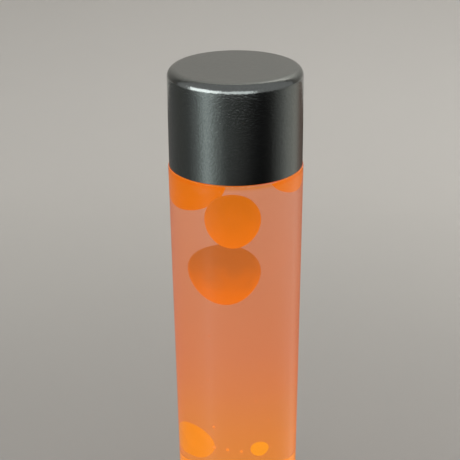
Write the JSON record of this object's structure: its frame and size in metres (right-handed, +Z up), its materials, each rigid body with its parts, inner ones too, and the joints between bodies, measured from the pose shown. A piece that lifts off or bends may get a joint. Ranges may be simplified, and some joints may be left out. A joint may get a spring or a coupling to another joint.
{
  "type": "liquid motion lamp",
  "caption": "Tall round liquid motion lamp: metal base with a reflector bulb, lift-out glass bottle of tinted liquid and drifting wax, and a lift-off metal cap.",
  "frame": {"origin": "centre of the underside, on the plane that the foot ring stands on", "axes": "+Z up through the base, bottle and cap; +Y towards the back, where the cord entry is; +X to the right seen from the front"},
  "size_m": [0.0912, 0.0918, 0.429],
  "materials": {
    "base_metal": "satin anthracite with fine metallic flake",
    "cap_metal": "satin anthracite with fine metallic flake",
    "ledge_metal": "matt black",
    "black_moulding": "moulded, fine grain",
    "holder_moulding": "moulded, fine grain",
    "terminal_moulding": "moulded, natural",
    "foot_rubber": "matt",
    "silicone": "soft, translucent grey",
    "zinc_steel": "zinc plated",
    "shell_brass": "pressed",
    "contact_brass": "pressed",
    "lead_brown": "insulated lead",
    "lead_blue": "insulated lead",
    "solder": "dull solder",
    "bulb_black_glass": "fused black glass",
    "bulb_nickel": "nickel plated",
    "bulb_glass": "silvered side, frosted face",
    "bulb_clear_glass": "clear",
    "filament": "drawn wire",
    "bottle_glass": "clear blown glass",
    "coil_steel": "drawn wire",
    "wax": "soft glowing orange wax",
    "liquid": "clear liquid with a warm tint",
    "crown_steel": "lacquered tinplate"
  },
  "bodies": {
    "base": {"base_shell": "base_metal", "base_plate": "black_moulding", "foot_ring": "foot_rubber", "bottle_ledge": "ledge_metal", "seat_pads": "silicone", "cord_gland": "black_moulding", "gland_nut": "zinc_steel", "plate_screws": "zinc_steel", "bracket_screws": "zinc_steel", "lampholder_bracket": "zinc_steel", "holder_screws": "zinc_steel", "lampholder_body": "holder_moulding", "lampholder_thread_shell": "shell_brass", "lampholder_contact": "contact_brass", "terminal_block": "terminal_moulding", "lead_live": "lead_brown", "lead_neutral": "lead_blue"},
    "bulb": {"bulb_contact": "solder", "bulb_insulator": "bulb_black_glass", "bulb_screw_cap": "bulb_nickel", "bulb_envelope": "bulb_glass", "bulb_stem": "bulb_clear_glass", "bulb_filament": "filament"},
    "bottle": {"glass_bottle": "bottle_glass", "wire_coil": "coil_steel", "wax_pool": "wax", "wax_upper_left": "wax", "wax_upper_right": "wax", "wax_wall_lobe": "wax", "wax_droplets": "wax", "liquid_fill": "liquid", "crown_seal": "silicone", "crown_closure": "crown_steel"},
    "round_blob": {"wax_round": "wax"},
    "ovoid_blob": {"wax_ovoid": "wax"},
    "small_blob": {"wax_small": "wax"},
    "cap": {"cap_shell": "cap_metal", "cap_liner": "silicone"}
  },
  "joints": [
    {"name": "bottle_lift", "type": "slide", "parent": "base", "child": "bottle", "axis": [0, 0, 1], "range_m": [0, 0.06]},
    {"name": "cap_lift", "type": "slide", "parent": "bottle", "child": "cap", "axis": [0, 0, 1], "range_m": [0, 0.075]},
    {"name": "bulb_unscrew", "type": "slide", "parent": "base", "child": "bulb", "axis": [0, 0, 1], "range_m": [0, 0.0113]},
    {"name": "round_blob_drift", "type": "slide", "parent": "bottle", "child": "round_blob", "axis": [0, 0, 1], "range_m": [-0.133, 0], "deforming": ["liquid_fill"]},
    {"name": "ovoid_blob_drift", "type": "slide", "parent": "bottle", "child": "ovoid_blob", "axis": [0, 0, 1], "range_m": [-0.1, 0.035], "deforming": ["liquid_fill"]},
    {"name": "small_blob_rise", "type": "slide", "parent": "bottle", "child": "small_blob", "axis": [0, 0, 1], "range_m": [0, 0.17], "deforming": ["liquid_fill"]}
  ]
}
